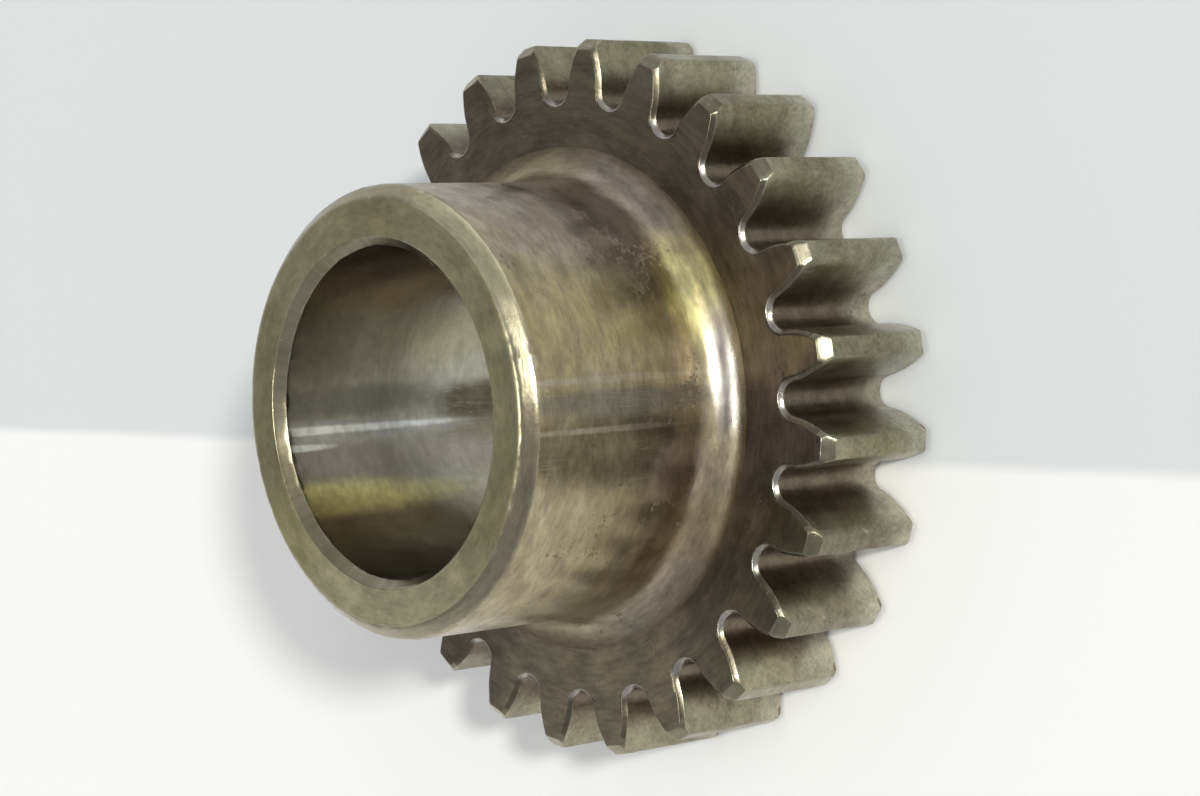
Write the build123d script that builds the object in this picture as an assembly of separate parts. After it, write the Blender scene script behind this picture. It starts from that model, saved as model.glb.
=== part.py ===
from build123d import *
import os
from math import acos, cos, pi, radians, sin, sqrt

# A spur gear with a long plain hub and a plain through bore, turned and cut from one piece of steel.
# It stands on its rear end face: the toothed rim is at the foot, and the hub rises from it along +Z.
# The origin is the middle of the rear end face. Lengths are in millimetres, angles in degrees.

# Teeth: full-depth involute with round roots, cut straight through the rim. The factors are shares of
# the module, as gear makers give them, and the thinning is what each tooth gives up to backlash at the
# pitch circle.
TEETH = 24
MODULE = 4.0
PRESSURE_ANGLE = 20.0
ADDENDUM_FACTOR = 1.0
DEDENDUM_FACTOR = 1.25
TOOTH_THINNING = 0.1
FACE_WIDTH = 20.5

# Broken edges of the rim: the turned corners at the tips, and the deburred edge round each tooth space
FRONT_TIP_CHAMFER = 1.5
REAR_TIP_CHAMFER = 1.1
SPACE_EDGE_CHAMFER = 0.6

# Hub, its corner at the nose, its hollow radius at the rim, and the bore
HUB_DIAMETER = 63.0
HUB_LENGTH = 35.0
NOSE_CHAMFER = 2.0
FOOT_FILLET = 5.0
BORE_DIAMETER = 46.0
BORE_CHAMFER = 1.4

# The most of the hub's wall that one broken corner may take
CORNER_SHARE = 0.3

# Points that the curve of a flank is drawn through, and how far a cutter runs past what it cuts
FLANK_POINTS = 5
OVERRUN = 0.5

# Sizes that follow from the ones above
PITCH_RADIUS = MODULE * TEETH / 2
TIP_RADIUS = PITCH_RADIUS + ADDENDUM_FACTOR * MODULE
ROOT_RADIUS = PITCH_RADIUS - DEDENDUM_FACTOR * MODULE
BASE_RADIUS = PITCH_RADIUS * cos(radians(PRESSURE_ANGLE))
HUB_RADIUS = HUB_DIAMETER / 2
BORE_RADIUS = BORE_DIAMETER / 2
TOTAL_LENGTH = FACE_WIDTH + HUB_LENGTH


def roll(radius):
    """Angle in radians through which the base circle rolls to bring its involute out to a radius."""
    return sqrt((radius / BASE_RADIUS) ** 2 - 1)


def involute_turn(radius):
    """Angle in radians between the foot of an involute of the base circle and its point at a radius."""
    return roll(radius) - acos(BASE_RADIUS / radius)


def polar(radius, angle):
    """Point in the XY plane, from a radius and an angle in radians."""
    return (radius * cos(angle), radius * sin(angle))


def mirrored(point):
    """The same point on the other side of the X axis."""
    return (point[0], -point[1])


def space_section(grow):
    """Outline of the gap between two teeth, about the X axis, with all its edges moved out by grow.

    A line parallel to an involute is the same involute turned about the axis, so growing the gap
    turns its flanks apart and sinks its root. The root is one arc from flank to flank.
    """
    flank_turn = pi / (2 * TEETH) + TOOTH_THINNING / (2 * PITCH_RADIUS) - involute_turn(PITCH_RADIUS)
    flank_turn += grow / BASE_RADIUS
    root = ROOT_RADIUS - grow
    foot = max(BASE_RADIUS, root * cos(flank_turn) / (1 - sin(flank_turn)))
    reach = TIP_RADIUS + OVERRUN
    radii = [foot + (reach - foot) * k / (FLANK_POINTS - 1) for k in range(FLANK_POINTS)]
    flank = [polar(radius, flank_turn + involute_turn(radius)) for radius in radii]
    tangents = [polar(1, flank_turn + roll(radius)) for radius in (foot, reach)]
    with BuildSketch() as section:
        with BuildLine():
            Spline(*flank, tangents=tangents)
            ThreePointArc(flank[0], (root, 0), mirrored(flank[0]))
            Spline(*[mirrored(point) for point in flank], tangents=[mirrored(tangent) for tangent in tangents])
            Line(mirrored(flank[-1]), flank[-1])
        make_face()
    return section.sketch


def space_cutter():
    """Cutter for one gap between teeth: straight, with a flare at each end that breaks the edges there."""
    straight = extrude(Pos(0, 0, -OVERRUN) * space_section(0), FACE_WIDTH + 2 * OVERRUN)
    wide = space_section(SPACE_EDGE_CHAMFER + OVERRUN)
    narrow = space_section(0)
    rear_flare = loft([Pos(0, 0, -OVERRUN) * wide, Pos(0, 0, SPACE_EDGE_CHAMFER) * narrow], ruled=True)
    front_flare = loft(
        [Pos(0, 0, FACE_WIDTH - SPACE_EDGE_CHAMFER) * narrow, Pos(0, 0, FACE_WIDTH + OVERRUN) * wide],
        ruled=True,
    )
    return straight + rear_flare + front_flare


def turned_blank():
    """The gear before its teeth are cut: half its section, turned about the axis."""
    foot_end = HUB_RADIUS + FOOT_FILLET
    corner_limit = CORNER_SHARE * (HUB_RADIUS - BORE_RADIUS)
    nose_chamfer = min(NOSE_CHAMFER, corner_limit)
    bore_chamfer = min(BORE_CHAMFER, corner_limit)
    with BuildSketch(Plane.XZ) as section:
        with BuildLine():
            Polyline(
                (foot_end, FACE_WIDTH),
                (TIP_RADIUS - FRONT_TIP_CHAMFER, FACE_WIDTH),
                (TIP_RADIUS, FACE_WIDTH - FRONT_TIP_CHAMFER),
                (TIP_RADIUS, REAR_TIP_CHAMFER),
                (TIP_RADIUS - REAR_TIP_CHAMFER, 0),
                (BORE_RADIUS + bore_chamfer, 0),
                (BORE_RADIUS, bore_chamfer),
                (BORE_RADIUS, TOTAL_LENGTH - bore_chamfer),
                (BORE_RADIUS + bore_chamfer, TOTAL_LENGTH),
                (HUB_RADIUS - nose_chamfer, TOTAL_LENGTH),
                (HUB_RADIUS, TOTAL_LENGTH - nose_chamfer),
                (HUB_RADIUS, FACE_WIDTH + FOOT_FILLET),
            )
            RadiusArc((HUB_RADIUS, FACE_WIDTH + FOOT_FILLET), (foot_end, FACE_WIDTH), -FOOT_FILLET)
        make_face()
    return revolve(section.sketch, Axis.Z)


def gear():
    """The whole gear, as one solid, with the middle of a tooth on the X axis."""
    cutter = space_cutter()
    turns = [360 * (number + 0.5) / TEETH for number in range(TEETH)]
    return turned_blank() - [Rot(0, 0, turn) * cutter for turn in turns]


def main():
    os.makedirs("parts", exist_ok=True)
    solid = gear().solid()
    export_step(solid, "parts/gear.step")
    print(f"gear {solid.volume:.1f} mm3, {len(solid.faces())} faces, valid {solid.is_valid}")


main()
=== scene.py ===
"""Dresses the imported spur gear: a worn steel gear with a long hub and a plain bore, in a pale studio.

One tooth with its slice of rim, hub and bore is built as a grid. A Geometry Nodes tree repeats it round
the axis, wears its edges and gives each region its finish. Lengths in the code are in metres.
"""
import logging
from dataclasses import dataclass, field
from enum import Enum
from functools import reduce
from math import acos, atan2, cos, hypot, pi, radians, sin, sqrt

import bpy
from mathutils import Matrix, Vector

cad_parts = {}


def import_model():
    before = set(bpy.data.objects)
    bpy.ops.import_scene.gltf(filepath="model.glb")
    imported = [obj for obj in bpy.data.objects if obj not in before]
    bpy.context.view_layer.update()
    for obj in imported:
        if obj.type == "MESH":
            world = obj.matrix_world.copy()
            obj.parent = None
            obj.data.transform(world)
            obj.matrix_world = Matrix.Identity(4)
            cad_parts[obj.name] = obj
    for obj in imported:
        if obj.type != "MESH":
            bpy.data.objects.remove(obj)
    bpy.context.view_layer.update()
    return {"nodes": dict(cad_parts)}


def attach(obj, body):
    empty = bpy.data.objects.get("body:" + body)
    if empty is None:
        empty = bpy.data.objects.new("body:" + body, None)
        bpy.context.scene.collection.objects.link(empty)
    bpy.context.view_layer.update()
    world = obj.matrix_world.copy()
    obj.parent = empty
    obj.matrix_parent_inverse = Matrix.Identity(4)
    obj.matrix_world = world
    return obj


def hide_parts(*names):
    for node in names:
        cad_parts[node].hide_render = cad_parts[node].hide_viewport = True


LOG = logging.getLogger("gear_scene")
MM = 0.001
Colour = tuple[float, float, float]
Socket = bpy.types.NodeSocket
Tree = bpy.types.NodeTree


class Region(Enum):
    """The surfaces of the gear that get a finish each. The value is the number kept on the faces."""

    BORE = 0
    HUB = 1
    NOSE_RING = 2
    RIM_FACE = 3
    TOOTH = 4
    BROKEN_EDGE = 5
    TIP_EDGE = 6
    SPACE_EDGE = 7


def add_object(name: str, data: bpy.types.ID) -> bpy.types.Object:
    """Makes an object and links it to the scene.

    Args:
        name: The object's name.
        data: Its mesh, camera or light.

    Returns:
        The object.
    """
    made = bpy.data.objects.new(name, data)
    bpy.context.scene.collection.objects.link(made)
    return made


class Wiring:
    """Adds nodes to one tree and joins their sockets."""

    def __init__(self, tree: Tree) -> None:
        """Keeps the tree that nodes are added to.

        Args:
            tree: A shader or geometry node tree.
        """
        self.tree = tree

    def node(self, kind: str, inputs: dict | None = None, **settings: object) -> bpy.types.Node:
        """Adds a node.

        Args:
            kind: The node's type name.
            inputs: What goes into its inputs, by name or number: a socket to join, or a plain value.
                A colour is given without its alpha.
            **settings: Properties of the node, such as its operation.

        Returns:
            The new node.
        """
        made = self.tree.nodes.new(kind)
        for name, value in settings.items():
            setattr(made, name, value)
        for key, value in (inputs or {}).items():
            socket = made.inputs[key]
            if isinstance(value, Socket):
                self.tree.links.new(value, socket)
            else:
                socket.default_value = (*value, 1.0) if socket.type == "RGBA" else value
        return made

    def group(self, tree: Tree, vector: Socket, **inputs: object) -> bpy.types.bpy_prop_collection:
        """Places a shared shader group.

        Args:
            tree: The group's tree.
            vector: The place that it is read at.
            **inputs: What goes into its other inputs, by name.

        Returns:
            The outputs of the group.
        """
        return self.node("ShaderNodeGroup", {"Vector": vector} | inputs, node_tree=tree).outputs

    def maths(self, operation: str, *values: object) -> Socket:
        """Adds a Math node.

        Args:
            operation: The node's operation, such as DIVIDE.
            *values: Sockets or numbers for its inputs, in order.

        Returns:
            The result.
        """
        return self.node("ShaderNodeMath", dict(enumerate(values)), operation=operation).outputs[0]

    def times(self, *values: object) -> Socket:
        """Multiplies two or more sockets or numbers."""
        return reduce(lambda first, second: self.maths("MULTIPLY", first, second), values)

    def plus(self, *values: object) -> Socket:
        """Adds up two or more sockets or numbers."""
        return reduce(lambda first, second: self.maths("ADD", first, second), values)

    def minus(self, first: object, second: object) -> Socket:
        """Takes the second socket or number from the first."""
        return self.maths("SUBTRACT", first, second)

    def scaled(self, vector: Socket, factor: object) -> Socket:
        """Multiplies a vector or a colour by a number."""
        return self.node("ShaderNodeVectorMath", {0: vector, 3: factor}, operation="SCALE").outputs[0]

    def noise(self, vector: Socket, scale: object, detail: float = 3.0, roughness: float = 0.5,
              distortion: object = 0.0) -> Socket:
        """Adds a 3-D noise.

        Args:
            vector: The place that it is read at.
            scale: Patches per unit of the vector.
            detail: Octaves.
            roughness: Share that each finer octave keeps.
            distortion: How far the place is bent first.

        Returns:
            Its value, from 0 to 1.
        """
        return self.node("ShaderNodeTexNoise", {
            "Vector": vector, "Scale": scale, "Detail": detail, "Roughness": roughness,
            "Distortion": distortion,
        }).outputs[0]

    def ramp(self, value: object, low: object, high: object, to_low: object = 0.0,
             to_high: object = 1.0) -> Socket:
        """Adds a smooth step from one value to another.

        Args:
            value: What is mapped.
            low: Where the step starts.
            high: Where the step ends.
            to_low: The result at the start.
            to_high: The result at the end.

        Returns:
            The result.
        """
        inputs = dict(enumerate((value, low, high, to_low, to_high)))
        return self.node("ShaderNodeMapRange", inputs, interpolation_type="SMOOTHSTEP").outputs[0]

    def blend(self, share: object, first: object, second: object) -> Socket:
        """Adds a colour Mix node.

        Args:
            share: How much of the second colour shows.
            first: The colour at a share of 0.
            second: The colour at a share of 1.

        Returns:
            The mixed colour.
        """
        return self.node("ShaderNodeMix", {0: share, 6: first, 7: second}, data_type="RGBA").outputs[2]


def empty_material(name: str) -> bpy.types.Material:
    """Makes a material with no nodes.

    Args:
        name: The material's name.

    Returns:
        The material.
    """
    made = bpy.data.materials.new(name)
    made.use_nodes = True
    made.node_tree.nodes.clear()
    return made


@dataclass(frozen=True)
class ToothForm:
    """A full-depth involute tooth and the round space beside it. Lengths in metres.

    The corner's middle point lies down from the tip and across from the flank by shares of its size.
    """

    teeth: int = 24
    module: float = 4.0 * MM
    pressure_angle: float = 20.0
    addendum: float = 1.0
    dedendum: float = 1.25
    thinning: float = 0.1 * MM
    corner: float = 0.16 * MM
    corner_down: float = 0.3
    corner_across: float = 0.25
    tip_inset: float = 0.004 * MM
    root_steps: int = 4
    flank_steps: int = 7
    land_steps: int = 3

    @property
    def pitch_radius(self) -> float:
        """Radius of the pitch circle."""
        return self.module * self.teeth / 2

    @property
    def tip_radius(self) -> float:
        """Radius over the tips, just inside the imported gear's."""
        return self.pitch_radius + self.addendum * self.module - self.tip_inset

    @property
    def root_radius(self) -> float:
        """Radius at the bottom of a space."""
        return self.pitch_radius - self.dedendum * self.module

    @property
    def base_radius(self) -> float:
        """Radius of the circle that the flanks unwind from."""
        return self.pitch_radius * cos(radians(self.pressure_angle))

    @property
    def half_pitch(self) -> float:
        """Angle in radians from the middle of a tooth to the middle of a space."""
        return pi / self.teeth

    def involute_turn(self, radius: float) -> float:
        """Angle in radians between the foot of an involute and its point at a radius."""
        roll = sqrt(max(0.0, (radius / self.base_radius) ** 2 - 1))
        return roll - acos(min(1.0, self.base_radius / radius))

    def half_outline(self, grow: float, tip_cut: float) -> list[tuple[float, float, float]]:
        """Outline from the middle of a space to the middle of the tooth.

        Args:
            grow: How far the space's walls are moved out, as where its edge is broken.
            tip_cut: How far the tip is turned down.

        Returns:
            Points as (radius, angle from the tooth's middle, 1 on the tip's corner or else 0).
        """
        turn = pi / (2 * self.teeth) + self.thinning / (2 * self.pitch_radius)
        turn += grow / self.base_radius - self.involute_turn(self.pitch_radius)
        root = self.root_radius - grow
        foot = max(self.base_radius, root * cos(turn) / (1 - sin(turn)))
        tip = self.tip_radius - tip_cut
        foot_angle = turn + self.involute_turn(foot)
        centre = (foot ** 2 - root ** 2) / (2 * (foot * cos(foot_angle) - root))
        arc = centre - root
        end = atan2(foot * sin(foot_angle), foot * cos(foot_angle) - centre)
        points = []
        for step in range(self.root_steps):
            beta = pi + (end - pi) * step / self.root_steps
            x, y = centre + arc * cos(beta), arc * sin(beta)
            points.append((hypot(x, y), self.half_pitch - atan2(y, x), 0.0))
        top = tip - self.corner
        for step in range(self.flank_steps):
            radius = foot + (top - foot) * step / (self.flank_steps - 1)
            angle = self.half_pitch - turn - self.involute_turn(radius)
            points.append((radius, angle, 1.0 if step == self.flank_steps - 1 else 0.0))
        land = self.half_pitch - turn - self.involute_turn(tip)
        down, across = self.corner * self.corner_down, self.corner * self.corner_across
        points.append((tip - down, land - across / tip, 1.0))
        start = land - self.corner / tip
        for step in range(self.land_steps + 1):
            points.append((tip, start * (1 - step / self.land_steps), 1.0 if step == 0 else 0.0))
        return points

    def outline(self, grow: float, tip_cut: float) -> list[tuple[float, float, float]]:
        """Outline of one pitch, from the middle of one space to the middle of the next.

        Args:
            grow: How far the walls of the spaces are moved out.
            tip_cut: How far the tip is turned down.

        Returns:
            Points as in half_outline.
        """
        half = self.half_outline(grow, tip_cut)
        return [(r, -a, e) for r, a, e in half] + [(r, a, e) for r, a, e in half[-2::-1]]


def polar(radius: float, angle: float, z: float) -> Vector:
    """A point from its radius, its angle from the X axis in radians and its height."""
    return Vector((radius * cos(angle), radius * sin(angle), z))


@dataclass
class SectorGrid:
    """Rows of points round one pitch of the gear, with the wear and region of each strip between rows."""

    columns: int
    rows: list[list[Vector]] = field(default_factory=list)
    wear: list[list[float]] = field(default_factory=list)
    regions: list[list[Region]] = field(default_factory=list)

    def add(self, points: list[Vector], wear: list[float], regions: list[Region]) -> None:
        """Adds one row.

        Args:
            points: Its points, round the axis.
            wear: How worn each point is, from 0 to 1.
            regions: The regions of the faces in the strip that follows it.
        """
        self.rows.append(points)
        self.wear.append(wear)
        self.regions.append(regions)

    def mesh(self, name: str) -> bpy.types.Mesh:
        """Makes the closed strip of one pitch as a mesh.

        Args:
            name: The mesh's name.

        Returns:
            The mesh, with a point attribute "edge" and a face attribute "region".
        """
        points = [tuple(point) for row in self.rows for point in row]
        faces, numbers = [], []
        count = len(self.rows)
        for row in range(count):
            after = (row + 1) % count
            for column in range(self.columns - 1):
                near, far = row * self.columns + column, after * self.columns + column
                faces.append((near, near + 1, far + 1, far))
                numbers.append(self.regions[row][column].value)
        mesh = bpy.data.meshes.new(name)
        mesh.from_pydata(points, [], faces)
        edge = mesh.attributes.new("edge", "FLOAT", "POINT")
        edge.data.foreach_set("value", [value for row in self.wear for value in row])
        region = mesh.attributes.new("region", "INT", "FACE")
        region.data.foreach_set("value", numbers)
        mesh.update()
        return mesh


@dataclass
class GearBody:
    """The gear: rim with teeth, hollow radius, hub and bore. Lengths in metres."""

    tooth: ToothForm = field(default_factory=ToothForm)
    face_width: float = 20.5 * MM
    front_tip_chamfer: float = 1.5 * MM
    rear_tip_chamfer: float = 1.1 * MM
    space_chamfer: float = 0.6 * MM
    hub_radius: float = 31.5 * MM
    hub_length: float = 35.0 * MM
    nose_chamfer: float = 2.0 * MM
    foot_fillet: float = 5.0 * MM
    bore_radius: float = 23.0 * MM
    bore_chamfer: float = 1.4 * MM
    nose_rounding: float = 0.65 * MM
    bore_rounding: float = 0.14 * MM
    bevel_softness: float = 0.05 * MM
    web_inset: float = 0.3 * MM
    web_shares: tuple[float, ...] = (0.0, 0.35, 0.7, 0.92)
    web_margin: float = 0.8 * MM
    rear_web_radius: float = 37.0 * MM
    fillet_steps: int = 12
    merge_gap: float = 0.002 * MM
    wear_reach: float = 0.09 * MM
    wear_depth: float = 0.055 * MM
    wear_scale: float = 420.0
    wear_seed: float = 7.0

    def __post_init__(self) -> None:
        """Starts the grid of one pitch, with a column for each point of a tooth's outline."""
        self.grid = SectorGrid(len(self.tooth.outline(0.0, 0.0)))

    @property
    def length(self) -> float:
        """Length over all."""
        return self.face_width + self.hub_length

    def bevel(self, distance: float, size: float) -> float:
        """How much a broken edge takes off at a distance from the end face, with its corner softened.

        Args:
            distance: Distance from the end face.
            size: Size of the broken edge.

        Returns:
            The depth taken off.
        """
        if distance >= size + 0.4 * MM:
            return 0.0
        gap = size - distance
        return 0.5 * (gap + sqrt(gap * gap + self.bevel_softness ** 2))

    def levels(self, tip_chamfer: float) -> list[tuple[float, float]]:
        """Rows of the rim near one end face.

        Args:
            tip_chamfer: Size of the turned corner at the tips.

        Returns:
            Pairs of (distance from the end face, extra width beyond the broken edge), from the face
            inwards.
        """
        space, tip = self.space_chamfer, tip_chamfer
        on_face = [(0.0, self.web_inset), (0.0, 0.1 * MM), (0.021 * MM, 0.03 * MM), (0.085 * MM, 0.0)]
        at_space = [space * 0.5] + [space + off * MM for off in (-0.08, 0.0, 0.08, 0.2)]
        between = [(space + tip) / 2, tip - 0.1 * MM]
        at_tip = [tip + off * MM for off in (-0.04, 0.03, 0.1, 0.22)]
        return on_face + [(z, 0.0) for z in at_space + between + at_tip]

    def rim_row(self, z: float, distance: float, extra: float, tip_chamfer: float,
                flat_after: bool = False) -> None:
        """Adds one row round the teeth.

        Args:
            z: Height of the row.
            distance: Its distance from the nearest end face.
            extra: How far it lies inside the broken edge on the end face.
            tip_chamfer: Size of the turned corner at the tips, at that end.
            flat_after: Whether the strip after the row lies on the end face.
        """
        grow = self.bevel(distance, self.space_chamfer) + extra
        cut = self.bevel(distance, tip_chamfer) + extra
        points, wear, regions = [], [], []
        for radius, angle, corner in self.tooth.outline(grow, cut):
            points.append(polar(radius, angle, z))
            on_tip = radius > self.tooth.tip_radius - cut - 0.3 * MM
            size = tip_chamfer if on_tip else self.space_chamfer
            broken = 1.0 if distance < size + self.wear_reach else 0.8 * corner
            wear.append(0.0 if extra == self.web_inset else broken)
            edge = Region.TIP_EDGE if on_tip else Region.SPACE_EDGE
            regions.append(edge if distance < size - 0.03 * MM else Region.TOOTH)
        self.grid.add(points, wear, [Region.RIM_FACE] * self.grid.columns if flat_after else regions)

    def even_angles(self) -> list[float]:
        """Angles of a row's points where they are evenly spread."""
        half = self.tooth.half_pitch
        return [-half + 2 * half * k / (self.grid.columns - 1) for k in range(self.grid.columns)]

    def ring_row(self, radius: float, z: float, wear: float, region: Region) -> None:
        """Adds one round row, with its points evenly spread.

        Args:
            radius: Its radius.
            z: Its height.
            wear: How worn it is, from 0 to 1.
            region: The region of the strip that follows.
        """
        points = [polar(radius, angle, z) for angle in self.even_angles()]
        self.grid.add(points, [wear] * self.grid.columns, [region] * self.grid.columns)

    def web_rows(self, radius: float, z: float, tip_chamfer: float, shares: tuple[float, ...]) -> None:
        """Adds rows across an end face, between the teeth's outline and a circle.

        Args:
            radius: Radius of the circle.
            z: Height of the face.
            tip_chamfer: Size of the turned corner at the tips, at that end.
            shares: Where the rows lie, from 0 at the circle to 1 at the outline.
        """
        outline = self.tooth.outline(self.space_chamfer + self.web_inset, tip_chamfer + self.web_inset)
        for share in shares:
            points = []
            for even, (far, turn, _) in zip(self.even_angles(), outline):
                points.append(polar(radius + (far - radius) * share, even + (turn - even) * share, z))
            self.grid.add(points, [0.0] * self.grid.columns, [Region.RIM_FACE] * self.grid.columns)

    def section_rows(self, line: list[tuple[float, float]], regions: list[Region], rounding: float) -> None:
        """Adds rows that round the inner corners of a line of the turned section.

        Each corner gets five rows, and a chamfer between two corners three unworn ones, which keep the
        wear at its corners.

        Args:
            line: Points (radius, height) of the line. Its first and last only give a direction.
            regions: The region of each piece of the line.
            rounding: Length that the rounding of a corner takes off each side.
        """
        for number in range(1, len(line) - 1):
            before, corner, after = (Vector(point) for point in line[number - 1:number + 2])
            way_in, way_out = (before - corner).normalized(), (after - corner).normalized()
            for share, wear in ((0.0, 0.5), (0.25, 0.9), (0.5, 1.0), (0.75, 0.9), (1.0, 0.5)):
                place = corner + way_in * rounding * (1 - share) ** 2 + way_out * rounding * share ** 2
                self.ring_row(place.x, place.y, wear, regions[number - (share < 0.5)])
            if regions[number] is Region.BROKEN_EDGE:
                for share in (0.3, 0.5, 0.7):
                    place = corner.lerp(after, share)
                    self.ring_row(place.x, place.y, 0.0, Region.BROKEN_EDGE)

    def add_pitch(self) -> None:
        """Adds the rows of one pitch: along the rear face, the teeth, the front face, hub and bore."""
        bore, hub, total, width = self.bore_radius, self.hub_radius, self.length, self.face_width
        foot, mouth = hub + self.foot_fillet, bore + self.bore_chamfer
        low, high = width + self.foot_fillet, total - self.nose_chamfer
        inner, outer = total - self.bore_chamfer, hub - self.nose_chamfer
        self.section_rows([(bore, self.bore_chamfer), (mouth, 0.0), (foot, 0.0)],
                          [Region.BROKEN_EDGE, Region.RIM_FACE], self.bore_rounding)
        for off in (0.7 * MM, 5.6 * MM):
            self.ring_row(mouth + off, 0.0, 0.0, Region.RIM_FACE)
        self.web_rows(self.rear_web_radius, 0.0, self.rear_tip_chamfer, self.web_shares)
        for distance, extra in self.levels(self.rear_tip_chamfer):
            on_web = extra == self.web_inset
            self.rim_row(distance, distance, extra, self.rear_tip_chamfer, on_web)
        for share in (0.25, 0.5, 0.75):
            self.rim_row(width * share, width, 0.0, self.front_tip_chamfer)
        for distance, extra in reversed(self.levels(self.front_tip_chamfer)):
            on_web = distance == 0.0
            self.rim_row(width - distance, distance, extra, self.front_tip_chamfer, on_web)
        self.web_rows(foot + self.web_margin, width, self.front_tip_chamfer, self.web_shares[::-1])
        for step in range(self.fillet_steps + 1):
            angle = pi / 2 * step / self.fillet_steps
            radius, z = foot - self.foot_fillet * sin(angle), low - self.foot_fillet * cos(angle)
            self.ring_row(radius, z, 0.0, Region.HUB)
        heights = [low + (high - low) * share for share in (0.03, 0.2, 0.4, 0.6, 0.8, 0.93)]
        for z in heights + [high - 1.0 * MM]:
            self.ring_row(hub, z, 0.0, Region.HUB)
        self.section_rows([(hub, low), (hub, high), (outer, total), (mouth, total)],
                          [Region.HUB, Region.BROKEN_EDGE, Region.NOSE_RING], self.nose_rounding)
        for share in (0.2, 0.5, 0.86):
            self.ring_row(outer + (mouth - outer) * share, total, 0.0, Region.NOSE_RING)
        self.section_rows([(outer, total), (mouth, total), (bore, inner), (bore, 0.0)],
                          [Region.NOSE_RING, Region.BROKEN_EDGE, Region.BORE], self.bore_rounding)
        for share in (0.015, 0.15, 0.3, 0.45, 0.6, 0.75, 0.9, 0.985):
            self.ring_row(bore, inner + (self.bore_chamfer - inner) * share, 0.0, Region.BORE)
        self.section_rows([(bore, inner), (bore, self.bore_chamfer), (mouth, 0.0)],
                          [Region.BORE, Region.BROKEN_EDGE], self.bore_rounding)

    def repeat_tree(self, finishes: dict[Region, bpy.types.Material]) -> Tree:
        """Builds the Geometry Nodes tree that repeats a pitch round the axis and wears its edges.

        Args:
            finishes: The material of each region.

        Returns:
            The tree, with inputs Teeth, Wear Depth, Wear Scale and Wear Seed.
        """
        tree = bpy.data.node_groups.new("repeat_round_axis", "GeometryNodeTree")
        for label, kind in (("Geometry", "Geometry"), ("Teeth", "Int"), ("Wear Depth", "Float"),
                            ("Wear Scale", "Float"), ("Wear Seed", "Float")):
            tree.interface.new_socket(label, in_out="INPUT", socket_type="NodeSocket" + kind)
        tree.interface.new_socket("Geometry", in_out="OUTPUT", socket_type="NodeSocketGeometry")
        wiring = Wiring(tree)
        given = wiring.node("NodeGroupInput").outputs

        def step(kind: str, geometry: Socket, **inputs: object) -> Socket:
            """Adds a node that the geometry passes through."""
            return wiring.node("GeometryNode" + kind, {"Geometry": geometry} | inputs).outputs[0]

        def stored(name: str, kind: str) -> Socket:
            """Reads an attribute of the mesh."""
            made = wiring.node("GeometryNodeInputNamedAttribute", {"Name": name}, data_type=kind)
            return next(socket for socket in made.outputs if socket.enabled)

        points = wiring.node("GeometryNodePoints", {"Count": given["Teeth"]}).outputs[0]
        index = wiring.node("GeometryNodeInputIndex").outputs[0]
        turn = wiring.maths("DIVIDE", wiring.times(index, 2 * pi), given["Teeth"])
        euler = wiring.node("ShaderNodeCombineXYZ", {"Z": turn}).outputs[0]
        rotation = wiring.node("FunctionNodeEulerToRotation", {0: euler}).outputs[0]
        placed = wiring.node("GeometryNodeInstanceOnPoints", {
            "Points": points, "Instance": given["Geometry"], "Rotation": rotation,
        }).outputs[0]
        merged = step("MergeByDistance", step("RealizeInstances", placed), Distance=self.merge_gap)
        place = wiring.node("GeometryNodeInputPosition").outputs[0]
        noise = wiring.node("ShaderNodeTexNoise", {
            "Vector": place, "W": given["Wear Seed"], "Scale": given["Wear Scale"], "Detail": 2.0,
        }, noise_dimensions="4D").outputs[0]
        depth = wiring.times(wiring.ramp(noise, 0.46, 0.72), stored("edge", "FLOAT"), given["Wear Depth"])
        normal = wiring.node("GeometryNodeInputNormal").outputs[0]
        worn = step("SetPosition", merged, Offset=wiring.scaled(normal, wiring.times(depth, -1.0)))
        last = step("RealizeInstances", step("SetShadeSmooth", worn))
        number = stored("region", "INT")
        for kind, material in finishes.items():
            same = wiring.node("FunctionNodeCompare", data_type="INT", operation="EQUAL")
            sides = [socket for socket in same.inputs if socket.enabled and socket.type == "INT"]
            tree.links.new(number, sides[0])
            sides[1].default_value = kind.value
            chosen = next(socket for socket in same.outputs if socket.enabled)
            last = step("SetMaterial", last, Selection=chosen, Material=material)
        wiring.node("NodeGroupOutput", {"Geometry": last})
        return tree

    def build(self, finishes: dict[Region, bpy.types.Material]) -> bpy.types.Object:
        """Makes the whole gear as one plain mesh.

        Args:
            finishes: The material of each region.

        Returns:
            The finished object, at the origin.
        """
        self.add_pitch()
        gear = add_object("dressed_gear", self.grid.mesh("gear_pitch"))
        repeat = gear.modifiers.new("repeat", "NODES")
        repeat.node_group = self.repeat_tree(finishes)
        values = {"Teeth": self.tooth.teeth, "Wear Depth": self.wear_depth, "Wear Scale": self.wear_scale,
                  "Wear Seed": self.wear_seed}
        for item in repeat.node_group.interface.items_tree:
            if item.name in values:
                repeat[item.identifier] = values[item.name]
        depsgraph = bpy.context.evaluated_depsgraph_get()
        mesh = bpy.data.meshes.new_from_object(
            gear.evaluated_get(depsgraph), preserve_all_data_layers=True, depsgraph=depsgraph)
        mesh.name = "dressed_gear"
        gear.modifiers.remove(repeat)
        gear.data = mesh
        return gear

    def dress(self, gear: bpy.types.Object) -> None:
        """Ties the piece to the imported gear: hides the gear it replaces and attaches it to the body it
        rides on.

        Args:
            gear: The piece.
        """
        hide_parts("gear")
        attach(gear, "root")


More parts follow.
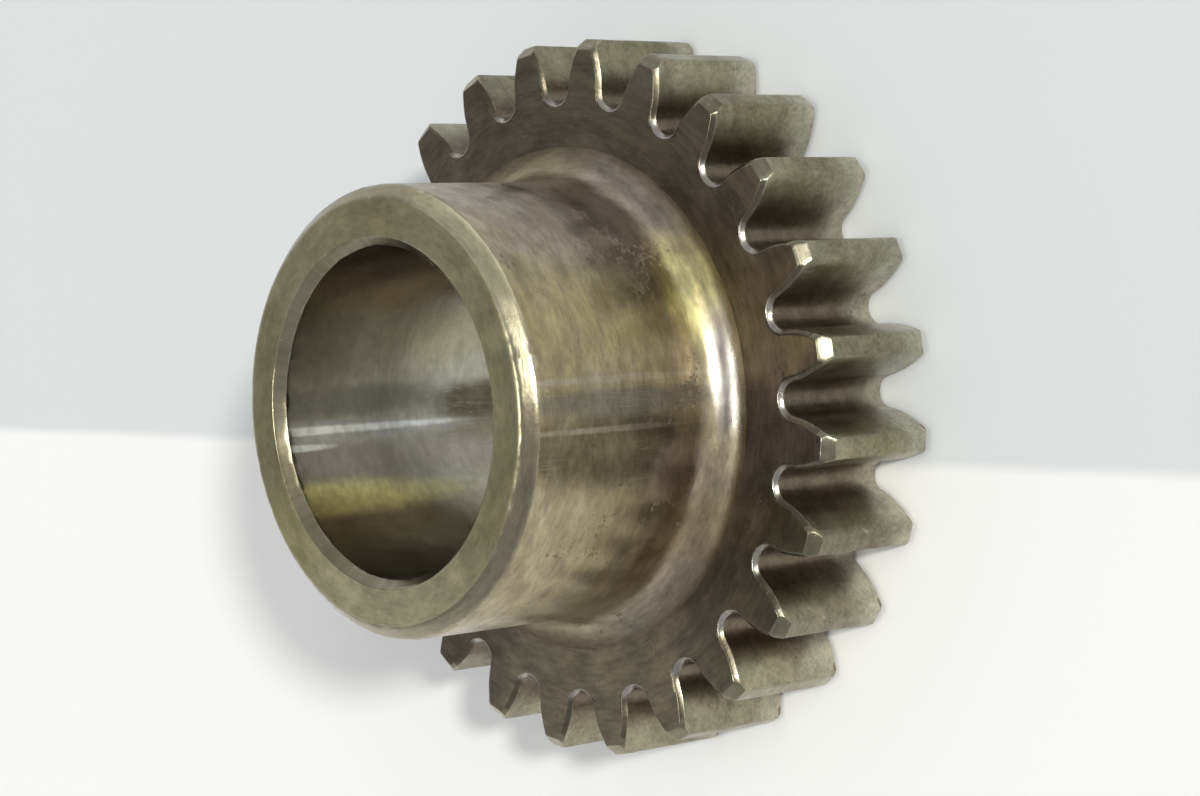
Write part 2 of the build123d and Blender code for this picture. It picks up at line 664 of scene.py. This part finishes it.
class SharedEffects:
    """Shader groups that the finishes share. Each is read at a place on the gear itself."""

    def __init__(self) -> None:
        """Builds every group once."""
        self.axial = self._axial()
        self.machining = self._machining()
        self.stains = self._stains()
        self.pits = self._pits()
        self.mottle = self._mottle()
        self.scratches = self._scratches()
        self.edge_wear = self._edge_wear()
        self.patch = self._patch()

    @staticmethod
    def _start(name: str, **numbers: float) -> tuple[Wiring, bpy.types.bpy_prop_collection]:
        """Makes a group with its inputs: a vector called Vector, and numbers.

        Args:
            name: The group's name.
            **numbers: Its number inputs and their defaults.

        Returns:
            The wiring of the group and its inputs, as sockets that give their values.
        """
        tree = bpy.data.node_groups.new(name, "ShaderNodeTree")
        tree.interface.new_socket("Vector", in_out="INPUT", socket_type="NodeSocketVector")
        for label, default in numbers.items():
            socket = tree.interface.new_socket(label, in_out="INPUT", socket_type="NodeSocketFloat")
            socket.default_value = default
        wiring = Wiring(tree)
        return wiring, wiring.node("NodeGroupInput").outputs

    @staticmethod
    def _end(wiring: Wiring, **outputs: Socket) -> Tree:
        """Gives a group its outputs.

        Args:
            wiring: The wiring of the group.
            **outputs: The name of each output and what it puts out.

        Returns:
            The finished group.
        """
        for label, socket in outputs.items():
            kind = "NodeSocketVector" if socket.type == "VECTOR" else "NodeSocketFloat"
            wiring.tree.interface.new_socket(label, in_out="OUTPUT", socket_type=kind)
        wiring.node("NodeGroupOutput", outputs)
        return wiring.tree

    def _axial(self) -> Tree:
        """Radius and height, and vectors that are stretched round the axis, along it or both.

        Returns:
            The group.
        """
        wiring, given = self._start("axial_place")
        place = given["Vector"]
        x, y, z = wiring.node("ShaderNodeSeparateXYZ", {0: place}).outputs
        radius = wiring.maths("SQRT", wiring.plus(wiring.times(x, x), wiring.times(y, y)))
        east, north = wiring.maths("DIVIDE", x, radius), wiring.maths("DIVIDE", y, radius)
        path = wiring.minus(radius, z)

        def stretched(turn: float, run: Socket) -> Socket:
            """A vector that changes by so much in a turn round the axis, and with the run along it."""
            inputs = {0: wiring.times(east, turn), 1: wiring.times(north, turn), 2: run}
            return wiring.node("ShaderNodeCombineXYZ", inputs).outputs[0]

        smeared = wiring.node("ShaderNodeVectorMath", {0: place, 1: (0.55, 0.55, 1.5)},
                              operation="MULTIPLY").outputs[0]
        return self._end(
            wiring, Radius=radius, Height=z, Round=stretched(0.02, path), Smeared=smeared,
            Along=stretched(0.03, wiring.times(path, 0.06)), Turned=stretched(0.011, path))

    def _machining(self) -> Tree:
        """Fine lines left by the tool, along whichever stretched vector is given.

        Returns:
            The group.
        """
        wiring, given = self._start("machining_lines", Lines=3000.0)
        fine = wiring.noise(given["Vector"], given["Lines"], 3.0, 0.6)
        coarse = wiring.noise(given["Vector"], wiring.times(given["Lines"], 0.13), 3.0)
        return self._end(wiring, Height=wiring.plus(fine, wiring.times(coarse, 0.8)),
                         Tone=wiring.ramp(coarse, 0.3, 0.7))

    def _stains(self) -> Tree:
        """Soft patches of a film or stain.

        Returns:
            The group.
        """
        wiring, given = self._start("stain_patches", Scale=60.0, Cover=0.5, Softness=0.12, Bend=0.6)
        noise = wiring.noise(given["Vector"], given["Scale"], 5.0, 0.58, given["Bend"])
        middle = wiring.ramp(wiring.minus(1.0, given["Cover"]), 0.0, 1.0, 0.28, 0.72)
        low, high = wiring.minus(middle, given["Softness"]), wiring.plus(middle, given["Softness"])
        return self._end(wiring, Mask=wiring.ramp(noise, low, high))

    def _pits(self) -> Tree:
        """Small ragged pits and specks of dirt, in loose swarms, sparse where Cover is low.

        Returns:
            The group.
        """
        wiring, given = self._start("pits", Scale=900.0, Cover=0.3)
        specks = wiring.noise(given["Vector"], given["Scale"], 5.0, 0.72)
        swarm = wiring.noise(given["Vector"], wiring.times(given["Scale"], 0.11), 3.0)
        level = wiring.plus(specks, wiring.times(wiring.minus(swarm, 0.5), 0.8))
        low = wiring.minus(0.74, wiring.times(given["Cover"], 0.35))
        return self._end(wiring, Mask=wiring.ramp(level, low, wiring.plus(low, 0.07)))

    def _mottle(self) -> Tree:
        """Light and dark mottling in two grain sizes, as a factor about 1 for a colour's brightness.

        Returns:
            The group.
        """
        wiring, given = self._start("mottle", Scale=420.0, Amount=0.3)
        coarse = wiring.noise(given["Vector"], given["Scale"], 5.0, 0.68)
        fine = wiring.noise(given["Vector"], wiring.times(given["Scale"], 4.3), 2.0)
        both = wiring.plus(wiring.times(coarse, 0.65), wiring.times(fine, 0.35))
        level = wiring.times(wiring.ramp(both, 0.34, 0.66, -1.0, 1.0), given["Amount"])
        return self._end(wiring, Factor=wiring.plus(level, 1.0))

    def _scratches(self) -> Tree:
        """Thin light scratches along a stretched vector, in patches.

        Returns:
            The group.
        """
        wiring, given = self._start("scratches", Scale=500.0, Amount=0.3)
        line = wiring.noise(given["Vector"], given["Scale"], 2.0, 0.6, 0.3)
        thin = wiring.ramp(wiring.maths("ABSOLUTE", wiring.minus(line, 0.5)), 0.0, 0.02, 1.0, 0.0)
        place = wiring.node("ShaderNodeTexCoord").outputs["Object"]
        patch = wiring.ramp(wiring.noise(place, 70.0, 2.0), 0.48, 0.62)
        return self._end(wiring, Mask=wiring.times(thin, patch, given["Amount"]))

    def _edge_wear(self) -> Tree:
        """Bright metal on worn edges, from the mesh's own edge attribute, broken up by noise.

        Returns:
            The group.
        """
        wiring, given = self._start("edge_wear", Amount=1.0, Scale=260.0)
        edge = wiring.node("ShaderNodeAttribute", attribute_name="edge").outputs["Fac"]
        noise = wiring.minus(wiring.noise(given["Vector"], given["Scale"], 4.0, 0.6), 0.5)
        reach = wiring.plus(wiring.times(edge, given["Amount"]), wiring.times(noise, 1.3))
        gate = wiring.ramp(edge, 0.02, 0.3)
        return self._end(wiring, Mask=wiring.times(wiring.ramp(reach, 0.4, 0.85), gate))

    def _patch(self) -> Tree:
        """One ragged patch, at an angle round the axis and a height.

        Returns:
            The group.
        """
        wiring, given = self._start("patch_at", Noise=0.5, Angle=0.0, Height=0.03, HalfAngle=0.3,
                                    HalfHeight=0.01, Ragged=0.8, Strength=0.6)
        x, y, z = wiring.node("ShaderNodeSeparateXYZ", {0: given["Vector"]}).outputs
        off = wiring.minus(wiring.maths("ARCTAN2", y, x), given["Angle"])
        across = wiring.maths("DIVIDE", wiring.maths("WRAP", off, pi, -pi), given["HalfAngle"])
        up = wiring.maths("DIVIDE", wiring.minus(z, given["Height"]), given["HalfHeight"])
        reach = wiring.maths("SQRT", wiring.plus(wiring.times(across, across), wiring.times(up, up)))
        bend = wiring.times(wiring.minus(given["Noise"], 0.5), given["Ragged"])
        mask = wiring.ramp(wiring.plus(reach, bend), 0.45, 1.15, 1.0, 0.0)
        return self._end(wiring, Mask=wiring.times(mask, given["Strength"]))


class Surface(Wiring):
    """The wiring of one steel material, with what the layers of its finish read."""

    def __init__(self, tree: Tree, effects: SharedEffects) -> None:
        """Adds the nodes that the layers share.

        Args:
            tree: The material's tree.
            effects: The shared shader groups.
        """
        super().__init__(tree)
        self.effects = effects
        self.place = self.node("ShaderNodeTexCoord").outputs["Object"]
        self.axial = self.group(effects.axial, self.place)
        self.fine = self.noise(self.place, 190.0, 5.0, 0.65)
        self.patchy = self.noise(self.place, 150.0, 4.0)


@dataclass(frozen=True)
class Patch:
    """A stain, a burnished spot, or painted light (a painted highlight, reflection or shade) on a round
    surface: where it is, how large, and its colour.

    Angles are in degrees, from the tooth on +X, and heights in millimetres.
    """

    angle: float
    height: float
    half_angle: float
    half_height: float
    colour: Colour
    strength: float
    ragged: float

    def mask(self, surface: Surface) -> Socket:
        """Finds how strongly the patch shows.

        Args:
            surface: The wiring of the material.

        Returns:
            A value from 0 to the patch's strength.
        """
        return surface.group(
            surface.effects.patch, surface.place, Noise=surface.fine, Angle=radians(self.angle),
            Height=self.height * MM, HalfAngle=radians(self.half_angle), HalfHeight=self.half_height * MM,
            Ragged=self.ragged, Strength=self.strength)[0]


class Measure(Enum):
    """What a zone is measured by. The value names the output of the axial group."""

    RADIUS = "Radius"
    HEIGHT = "Height"


@dataclass(frozen=True)
class Zone:
    """A change of colour that comes on between two radii or heights, in millimetres."""

    measure: Measure
    start: float
    end: float
    colour: Colour
    strength: float

    def mask(self, surface: Surface) -> Socket:
        """Finds how strongly the zone shows.

        Args:
            surface: The wiring of the material.

        Returns:
            A value from 0 to the zone's strength.
        """
        start, end = self.start * MM, self.end * MM
        shift = surface.times(surface.minus(surface.patchy, 0.5), end - start)
        at = surface.plus(surface.axial[self.measure.value], shift)
        if start < end:
            return surface.ramp(at, start, end, 0.0, self.strength)
        return surface.ramp(at, end, start, self.strength, 0.0)


@dataclass(frozen=True)
class SteelFinish:
    """A finish of bare steel: its metal, the films and dirt on it, its tool marks, its wear, and patches
    and zones of colour, some of them painted highlights, reflections and shade.
    """

    name: str
    metal: Colour
    film: Colour
    oil: Colour
    dirt: Colour
    bright: Colour
    wear: float
    film_cover: float = 0.5
    oil_cover: float = 0.35
    pit_cover: float = 0.25
    pit_scale: float = 900.0
    pit_strength: float = 0.6
    lines: float = 3000.0
    lines_along: bool = False
    line_tone: float = 0.3
    line_bump: float = 0.00002
    scratch: float = 0.05
    smooth: float = 0.2
    rough: float = 0.3
    mottle: float = 0.16
    zones: tuple[Zone, ...] = ()
    patches: tuple[Patch, ...] = ()
    swarms: tuple[Patch, ...] = ()

    def colour(self, surface: Surface, tone: Socket, pits: Socket) -> Socket:
        """Lays films, patches, zones, tool marks, dirt and wear over the metal.

        Args:
            surface: The wiring of the material.
            tone: How light the tool marks are, from 0 to 1.
            pits: Where the pits are, from 0 to 1.

        Returns:
            The colour.
        """
        effects, axial, blend = surface.effects, surface.axial, surface.blend
        film = surface.group(effects.stains, axial["Smeared"], Scale=70.0, Cover=self.film_cover,
                             Softness=0.2)[0]
        oil = surface.group(effects.stains, axial["Smeared"], Scale=40.0, Cover=self.oil_cover,
                            Bend=1.4)[0]
        colour = blend(surface.times(oil, 0.8), blend(film, self.metal, self.film), self.oil)
        for layer in self.patches + self.zones:
            colour = blend(layer.mask(surface), colour, layer.colour)
        shade = surface.times(surface.minus(1.0, tone), self.line_tone)
        colour = blend(shade, colour, tuple(part * 0.45 for part in self.metal))
        colour = blend(surface.times(pits, self.pit_strength), colour, self.dirt)
        grain_place = surface.place if self.lines_along else axial["Turned"]
        grain = surface.group(effects.mottle, grain_place, Amount=self.mottle)[0]
        colour = surface.scaled(colour, grain)
        scratch = surface.group(effects.scratches, axial["Along"], Scale=900.0, Amount=self.scratch)[0]
        wear = surface.group(effects.edge_wear, surface.place, Amount=self.wear)[0]
        return blend(surface.maths("MAXIMUM", wear, scratch), colour, self.bright)

    def material(self, effects: SharedEffects) -> bpy.types.Material:
        """Makes the material.

        Args:
            effects: The shared shader groups.

        Returns:
            The material.
        """
        made = empty_material(self.name)
        made.diffuse_color = (*self.metal, 1.0)
        surface = Surface(made.node_tree, effects)
        marks = surface.axial["Along" if self.lines_along else "Round"]
        lines = surface.group(effects.machining, marks, Lines=self.lines)
        cover = self.pit_cover
        for swarm in self.swarms:
            cover = surface.plus(swarm.mask(surface), cover)
        pits = surface.group(effects.pits, surface.place, Scale=self.pit_scale, Cover=cover)[0]
        tooled = surface.node("ShaderNodeBump", {
            "Height": lines["Height"], "Distance": self.line_bump, "Strength": 1.0,
        }).outputs[0]
        dented = surface.node("ShaderNodeBump", {
            "Height": surface.minus(surface.patchy, surface.times(pits, 0.4)), "Distance": 0.00005,
            "Strength": 0.7, "Normal": tooled,
        }).outputs[0]
        rough = surface.ramp(surface.patchy, 0.3, 0.7, self.smooth, self.rough)
        shader = surface.node("ShaderNodeBsdfPrincipled", {
            "Base Color": self.colour(surface, lines["Tone"], pits), "Normal": dented,
            "Roughness": surface.plus(rough, surface.times(pits, 0.2)),
            "Metallic": surface.minus(1.0, surface.times(pits, 0.3)),
        })
        surface.node("ShaderNodeOutputMaterial", {"Surface": shader.outputs[0]})
        return made


FINISHES: dict[Region, SteelFinish] = {
    Region.BORE: SteelFinish(
        "bored_steel", metal=(0.43, 0.415, 0.345), film=(0.36, 0.335, 0.26), oil=(0.285, 0.25, 0.175),
        dirt=(0.16, 0.13, 0.09), bright=(0.85, 0.83, 0.79), film_cover=0.45, oil_cover=0.3,
        pit_cover=-0.15, lines=5000.0, line_bump=0.000010, smooth=0.16, rough=0.26, scratch=0.1, wear=0.5,
        mottle=0.10,
        patches=(
            Patch(-100, 8, 90, 22, (0.80, 0.78, 0.70), 0.95, 0.4),
            Patch(-14, 34, 30, 40, (0.35, 0.285, 0.19), 0.95, 0.5),
            Patch(112, 30, 28, 60, (0.33, 0.28, 0.19), 0.97, 0.35),
            # From here on the patches paint what the far wall of the bore reflects: the yellow, grey, olive
            # and dark bands are painted reflections of the room.
            Patch(34, 52, 26, 12, (0.25, 0.225, 0.175), 0.75, 1.0),
            Patch(26, 25, 14, 13, (0.37, 0.35, 0.23), 0.7, 1.0),
            Patch(50, 43, 6.5, 25, (0.19, 0.175, 0.15), 0.75, 0.6),
            Patch(66, 16, 18, 14, (0.17, 0.145, 0.09), 0.8, 0.7),
            Patch(53, 19, 9, 10, (0.08, 0.065, 0.035), 0.9, 0.8),
            Patch(72, 40, 8, 34, (0.35, 0.315, 0.295), 0.8, 0.5),
            Patch(86.5, 53, 8.5, 30, (0.93, 0.86, 0.40), 0.8, 0.45),
            Patch(61, 46, 5.0, 26, (0.52, 0.50, 0.52), 0.75, 0.5),
            # Painted highlights: the two thin near-white streaks along the far wall of the bore.
            Patch(60, 50, 1.8, 30, (0.99, 0.99, 0.99), 1.0, 0.3),
            Patch(66, 54, 1.6, 9, (0.98, 0.98, 0.97), 0.95, 0.4),
        )),
    Region.HUB: SteelFinish(
        "turned_steel", metal=(0.46, 0.405, 0.285), film=(0.37, 0.315, 0.18), oil=(0.28, 0.23, 0.14),
        dirt=(0.08, 0.06, 0.035), bright=(0.60, 0.54, 0.42), pit_cover=0.12, pit_scale=1500.0,
        pit_strength=0.62, line_tone=0.46, smooth=0.26, rough=0.42, scratch=0.12, wear=0.4, mottle=0.20,
        zones=(Zone(Measure.RADIUS, 34.2, 36.9, (0.20, 0.16, 0.10), 0.95),),
        patches=(
            Patch(-64, 36, 34, 26, (0.46, 0.39, 0.345), 0.65, 1.3),
            Patch(-106, 44, 16, 18, (0.46, 0.39, 0.19), 0.7, 1.6),
            # Painted highlight: the yellow band on the foot fillet where it turns towards the lamps.
            Patch(-99, 23.4, 18, 4.2, (0.88, 0.79, 0.36), 0.85, 0.8),
            Patch(-95, 33, 9, 8, (0.12, 0.10, 0.065), 0.4, 2.6),
            Patch(-138, 40, 13, 21, (0.09, 0.076, 0.043), 0.92, 1.1),
            Patch(-158, 45, 13, 9, (0.45, 0.395, 0.25), 0.65, 1.7),
            Patch(-146, 27, 12, 7, (0.42, 0.335, 0.255), 0.8, 1.0),
            Patch(-171, 25, 20, 8, (0.36, 0.245, 0.16), 0.65, 1.3),
            # These three paint a reflection along the hub: a dark axial band with a thin light line on
            # either side.
            Patch(-126, 38, 4.0, 26, (0.19, 0.175, 0.135), 0.85, 0.6),
            Patch(-120.4, 40, 1.1, 23, (0.60, 0.55, 0.45), 0.40, 0.8),
            Patch(-132.6, 41, 0.9, 20, (0.52, 0.47, 0.39), 0.35, 0.8),
            # Painted highlight: the pale line at the outer end of the foot fillet.
            Patch(-121, 21.2, 19, 2.0, (0.44, 0.41, 0.38), 0.9, 0.4),
            Patch(172, 22, 26, 3.5, (0.40, 0.35, 0.27), 0.7, 0.9),
        ),
        swarms=(
            Patch(-88, 31, 16, 9, (0.0, 0.0, 0.0), 0.45, 1.4),
            Patch(-128, 29, 9, 7, (0.0, 0.0, 0.0), 0.55, 1.2),
            Patch(-157, 40, 15, 11, (0.0, 0.0, 0.0), 0.20, 1.8),
            Patch(30, 36, 60, 10, (0.0, 0.0, 0.0), 0.25, 1.6),
        )),
    Region.NOSE_RING: SteelFinish(
        "faced_nose", metal=(0.45, 0.41, 0.26), film=(0.37, 0.335, 0.185), oil=(0.28, 0.24, 0.135),
        dirt=(0.09, 0.07, 0.04), bright=(0.62, 0.59, 0.47), film_cover=0.45, oil_cover=0.25,
        pit_cover=0.1, line_tone=0.32, smooth=0.28, rough=0.40, scratch=0.06, wear=0.35,
        patches=(
            Patch(135, 55, 60, 30, (0.69, 0.64, 0.41), 0.75, 0.8),
            Patch(48, 55, 34, 30, (0.34, 0.30, 0.165), 0.6, 0.8),
            Patch(92, 55, 18, 30, (0.42, 0.38, 0.15), 0.5, 0.8),
        )),
    Region.RIM_FACE: SteelFinish(
        "faced_rim", metal=(0.18, 0.153, 0.11), film=(0.135, 0.115, 0.072), oil=(0.10, 0.078, 0.052),
        dirt=(0.04, 0.03, 0.02), bright=(0.34, 0.31, 0.25), oil_cover=0.4, pit_cover=0.3,
        pit_scale=1700.0, smooth=0.34, rough=0.52, scratch=0.06, wear=0.2, mottle=0.24,
        patches=(
            Patch(-124, 20, 22, 9, (0.115, 0.094, 0.082), 0.9, 0.6),
            Patch(148, 20, 36, 9, (0.31, 0.27, 0.18), 0.8, 0.9),
        )),
    Region.TOOTH: SteelFinish(
        "cut_tooth_steel", metal=(0.35, 0.33, 0.235), film=(0.265, 0.245, 0.155), oil=(0.18, 0.15, 0.10),
        dirt=(0.06, 0.05, 0.035), bright=(0.62, 0.57, 0.46), pit_cover=0.2, pit_scale=1400.0,
        lines_along=True, line_tone=0.34, smooth=0.28, rough=0.44, scratch=0.06, wear=0.42, mottle=0.24,
        zones=(
            # Darker towards the roots: painted shade in the spaces between the teeth.
            Zone(Measure.RADIUS, 50.2, 45.2, (0.155, 0.122, 0.088), 0.92),
            Zone(Measure.HEIGHT, 8.0, 1.5, (0.60, 0.58, 0.47), 0.65),
        ),
        patches=(
            Patch(-120, 10, 15, 16, (0.21, 0.19, 0.13), 0.6, 0.7),
            Patch(-158, 11, 17, 16, (0.15, 0.135, 0.10), 0.7, 0.7),
            Patch(168, 10, 44, 22, (0.35, 0.33, 0.24), 0.5, 0.9),
        )),
    Region.BROKEN_EDGE: SteelFinish(
        "broken_edge_with_painted_highlight", metal=(0.37, 0.335, 0.24), film=(0.33, 0.295, 0.185),
        oil=(0.25, 0.21, 0.13), dirt=(0.10, 0.085, 0.055), bright=(0.75, 0.71, 0.60), film_cover=0.45,
        oil_cover=0.25, pit_cover=0.05, line_tone=0.2, wear=0.38,
        patches=(
            # Painted highlight: the yellow light on the upper side of the nose chamfer.
            Patch(-82, 54.5, 30, 9, (0.80, 0.75, 0.50), 0.85, 0.7),
            Patch(-150, 54.5, 28, 9, (0.36, 0.31, 0.22), 0.8, 0.8),
        )),
    Region.TIP_EDGE: SteelFinish(
        "turned_tip_edge", metal=(0.34, 0.31, 0.22), film=(0.27, 0.24, 0.155), oil=(0.20, 0.17, 0.11),
        dirt=(0.09, 0.075, 0.05), bright=(0.66, 0.62, 0.53), film_cover=0.45, oil_cover=0.3,
        pit_cover=0.08, line_tone=0.2, wear=0.36),
    Region.SPACE_EDGE: SteelFinish(
        "broken_space_edge", metal=(0.19, 0.165, 0.115), film=(0.15, 0.13, 0.085),
        oil=(0.115, 0.095, 0.062), dirt=(0.06, 0.05, 0.035), bright=(0.40, 0.365, 0.29), pit_cover=0.1,
        line_tone=0.15, wear=0.3, mottle=0.2,
        # Lighter at the roots of the spaces: a painted highlight for the glints there.
        zones=(Zone(Measure.RADIUS, 44.6, 43.0, (0.60, 0.57, 0.50), 0.85),)),
}


@dataclass(frozen=True)
class Viewpoint:
    """The photograph's viewing angle, as a camera fitted to the gear.

    The gear's axis is turned by yaw and pitch out of the line of sight, and its first tooth by phase
    from the top of the picture. The offsets are those of the rim's front face from the camera.
    """

    yaw: float = 47.571
    pitch: float = 3.252
    phase: float = -37.465
    right: float = -4.701 * MM
    down: float = 0.135 * MM
    ahead: float = 431.53 * MM
    lens: float = 89.088
    sensor: float = 36.0

    def basis(self) -> Matrix:
        """Finds how the gear is turned, as the camera sees it.

        Returns:
            A matrix whose columns are the gear's X, Y and Z axes, in a frame of right, down and ahead.
        """
        yaw, pitch, phase = radians(self.yaw), radians(self.pitch), radians(self.phase)
        axis = Vector((-sin(yaw) * cos(pitch), sin(pitch), -cos(yaw) * cos(pitch)))
        up = Vector((0.0, -1.0, 0.0))
        up = (up - axis * up.dot(axis)).normalized()
        first = up * cos(phase) + up.cross(axis) * sin(phase)
        return Matrix((first, axis.cross(first), axis)).transposed()

    def direction(self, right: float, up: float, back: float) -> Vector:
        """Turns a direction from the camera's frame to the gear's.

        Args:
            right: Its part to the right of the picture.
            up: Its part to the top of the picture.
            back: Its part towards the camera.

        Returns:
            The direction, of length 1.
        """
        return (self.basis().transposed() @ Vector((right, -up, -back))).normalized()

    def place(self, face_width: float) -> Matrix:
        """Finds where the camera stands.

        Args:
            face_width: Height of the rim's front face above the floor.

        Returns:
            The camera's matrix in the gear's frame.
        """
        turned = self.basis().transposed()
        centre = Vector((0.0, 0.0, face_width)) - turned @ Vector((self.right, self.down, self.ahead))
        axes = Matrix((self.direction(1, 0, 0), self.direction(0, 1, 0), self.direction(0, 0, 1)))
        return Matrix.Translation(centre) @ axes.transposed().to_4x4()

    def build(self, face_width: float) -> bpy.types.Object:
        """Makes the camera and sets it as the scene's.

        Args:
            face_width: Height of the rim's front face above the floor.

        Returns:
            The camera.
        """
        data = bpy.data.cameras.new("fitted_camera")
        data.lens = self.lens
        data.sensor_width = self.sensor
        data.clip_start = 0.01
        camera = add_object("fitted_camera", data)
        camera.matrix_world = self.place(face_width)
        bpy.context.scene.camera = camera
        return camera


@dataclass(frozen=True)
class Lamp:
    """A lamp aimed at the gear, from a direction in the camera's frame.

    Its level is the share of full daylight that it gives.
    """

    name: str
    right: float
    up: float
    back: float
    level: float
    colour: Colour
    distance: float = 1.0

    def light(self) -> bpy.types.Light:
        """Makes the lamp's kind, size and power."""
        raise NotImplementedError

    def build(self, view: Viewpoint, aim: Vector) -> bpy.types.Object:
        """Makes the lamp.

        Args:
            view: The viewing angle, which the lamp's direction is given from.
            aim: The point that it is aimed at.

        Returns:
            The lamp.
        """
        data = self.light()
        data.color = self.colour
        lamp = add_object(self.name, data)
        way = view.direction(self.right, self.up, self.back)
        side = view.direction(0.0, 1.0, 0.0).cross(way).normalized()
        turned = Matrix((side, way.cross(side), way)).transposed()
        lamp.matrix_world = Matrix.Translation(aim + way * self.distance) @ turned.to_4x4()
        return lamp


@dataclass(frozen=True)
class SoftLamp(Lamp):
    """A rectangular lamp near the gear, with its width and height in metres."""

    width: float = 1.0
    tall: float = 1.0

    def light(self) -> bpy.types.Light:
        """Makes the lamp's kind, size and power.

        Returns:
            The light.
        """
        data = bpy.data.lights.new(self.name, "AREA")
        data.shape = "RECTANGLE"
        data.size = self.width
        data.size_y = self.tall
        data.energy = self.level * pi ** 2 * self.distance ** 2
        return data


@dataclass(frozen=True)
class FarLamp(Lamp):
    """A round lamp so far off that it lights the whole floor evenly. Its angle is its width in degrees."""

    angle: float = 5.0

    def light(self) -> bpy.types.Light:
        """Makes the lamp's kind, size and power.

        Returns:
            The light.
        """
        data = bpy.data.lights.new(self.name, "SUN")
        data.angle = radians(self.angle)
        data.energy = self.level * pi
        return data


@dataclass(frozen=True)
class BoreBeam:
    """A narrow lamp straight above, which lights the floor at the bottom of the bore."""

    distance: float = 1.0
    radius: float = 20.0 * MM
    level: float = 0.90

    def build(self) -> bpy.types.Object:
        """Makes the lamp, aimed down the axis.

        Returns:
            The lamp.
        """
        data = bpy.data.lights.new("bore_beam", "SPOT")
        data.spot_size = 2 * atan2(self.radius, self.distance)
        data.spot_blend = 0.25
        data.shadow_soft_size = 0.01
        data.energy = self.level * 4 * pi ** 2 * self.distance ** 2
        lamp = add_object("bore_beam", data)
        lamp.location = (0.0, 0.0, self.distance)
        return lamp


@dataclass(frozen=True)
class Studio:
    """A pale floor in two tones, a pale world and soft lamps.

    The floor is whiter on one side of a line. The line is given by the direction across it, towards the
    greyer side, and its distance from the gear's axis that way.
    """

    floor_size: float = 30.0
    white_side: Colour = (0.90, 0.90, 0.88)
    grey_side: Colour = (0.69, 0.715, 0.715)
    line_across: tuple[float, float, float] = (0.7857, -0.6187, 0.0)
    line_at: float = -9.66 * MM
    line_softness: float = 1.2 * MM
    world_colour: Colour = (0.95, 0.97, 1.0)
    world_level: float = 0.40
    horizon_level: float = 0.80
    beam: BoreBeam = BoreBeam()
    lamps: tuple[Lamp, ...] = (
        FarLamp("key", 0.16, 0.17, 0.97, 0.72, (1.0, 0.985, 0.95), angle=5.2),
        SoftLamp("front", -0.08, 0.30, 0.95, 0.14, (1.0, 0.985, 0.95), 3.0, width=0.36, tall=1.50),
        FarLamp("overhead", -0.737, -0.057, 0.674, 0.20, (1.0, 0.995, 0.98), angle=17.0),
    )

    def build(self, view: Viewpoint, aim: Vector) -> None:
        """Makes the floor, the world and the lamps.

        Args:
            view: The viewing angle, which the lamps' directions are given from.
            aim: The point that the lamps are aimed at.
        """
        half = self.floor_size / 2
        mesh = bpy.data.meshes.new("floor")
        square = [(-half, -half, 0), (half, -half, 0), (half, half, 0), (-half, half, 0)]
        mesh.from_pydata(square, [], [(0, 1, 2, 3)])
        mesh.materials.append(self._floor_material())
        floor = add_object("floor", mesh)
        self._build_world()
        bpy.context.scene.view_settings.view_transform = "Standard"
        self.beam.build()
        for lamp in self.lamps:
            lamp.build(view, aim)

    def _build_world(self) -> None:
        """Makes the world, brighter at the horizon than overhead."""
        world = bpy.data.worlds.new("pale_room")
        world.use_nodes = True
        wiring = Wiring(world.node_tree)
        place = wiring.node("ShaderNodeTexCoord").outputs["Generated"]
        height = wiring.node("ShaderNodeSeparateXYZ", {0: place}).outputs[2]
        level = wiring.ramp(height, 0.0, 0.5, self.horizon_level, self.world_level)
        background = world.node_tree.nodes["Background"]
        background.inputs["Color"].default_value = (*self.world_colour, 1.0)
        world.node_tree.links.new(level, background.inputs["Strength"])
        bpy.context.scene.world = world

    def _floor_material(self) -> bpy.types.Material:
        """Makes a matt pale surface in two tones, with a very faint mottle.

        Returns:
            The material.
        """
        made = empty_material("pale_floor")
        wiring = Wiring(made.node_tree)
        place = wiring.node("ShaderNodeTexCoord").outputs["Object"]
        across = wiring.node("ShaderNodeVectorMath", {0: place, 1: self.line_across},
                             operation="DOT_PRODUCT").outputs["Value"]
        side = wiring.ramp(across, self.line_at - self.line_softness, self.line_at + self.line_softness)
        tone = wiring.blend(side, self.white_side, self.grey_side)
        mottle = wiring.times(wiring.noise(place, 9.0, 2.0), 0.05)
        shader = wiring.node("ShaderNodeBsdfPrincipled", {
            "Base Color": wiring.blend(mottle, tone, (0.5, 0.5, 0.5)), "Roughness": 0.9,
            "Specular IOR Level": 0.2,
        })
        wiring.node("ShaderNodeOutputMaterial", {"Surface": shader.outputs[0]})
        return made


def main() -> None:
    """Builds the camera, the gear and the studio, and logs the gear's triangles and finishes."""
    logging.basicConfig(level=logging.INFO, format="%(name)s: %(message)s")
    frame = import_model()
    body = GearBody()
    view = Viewpoint()
    view.build(body.face_width)
    effects = SharedEffects()
    finishes = {region: finish.material(effects) for region, finish in FINISHES.items()}
    gear = body.build(finishes)
    body.dress(gear)
    gear.data.calc_loop_triangles()
    LOG.info("gear: %d triangles, %d finishes, stands for %s", len(gear.data.loop_triangles),
             len(gear.data.materials), sorted(frame["nodes"]))
    Studio().build(view, Vector((0.0, 0.0, body.length / 2)))


if __name__ == "__main__":
    main()
